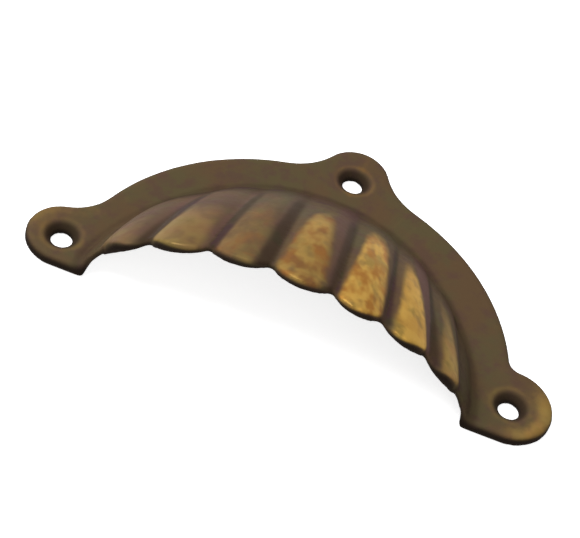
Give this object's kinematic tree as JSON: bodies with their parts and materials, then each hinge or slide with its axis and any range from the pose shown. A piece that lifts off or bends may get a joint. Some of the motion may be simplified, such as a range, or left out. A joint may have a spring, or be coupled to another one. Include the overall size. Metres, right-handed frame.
{
  "type": "drawer pull",
  "caption": "Cast brass cup drawer pull: a fluted shell hood over the finger space, on a flat arched flange with round screw ears.",
  "frame": {"origin": "midway between the two end screw holes, on the mounting face", "axes": "+X along the pull from the left ear to the right ear as seen from in front, +Y up the drawer front to the top ear, +Z out of the drawer front"},
  "size_m": [0.1055, 0.0588, 0.0241],
  "materials": {
    "aged_brass": "antique patina, dark brown in the hollows and rubbed to golden brass on the flutes"
  },
  "bodies": {
    "root": {"shell_pull": "aged_brass"}
  },
  "joints": []
}
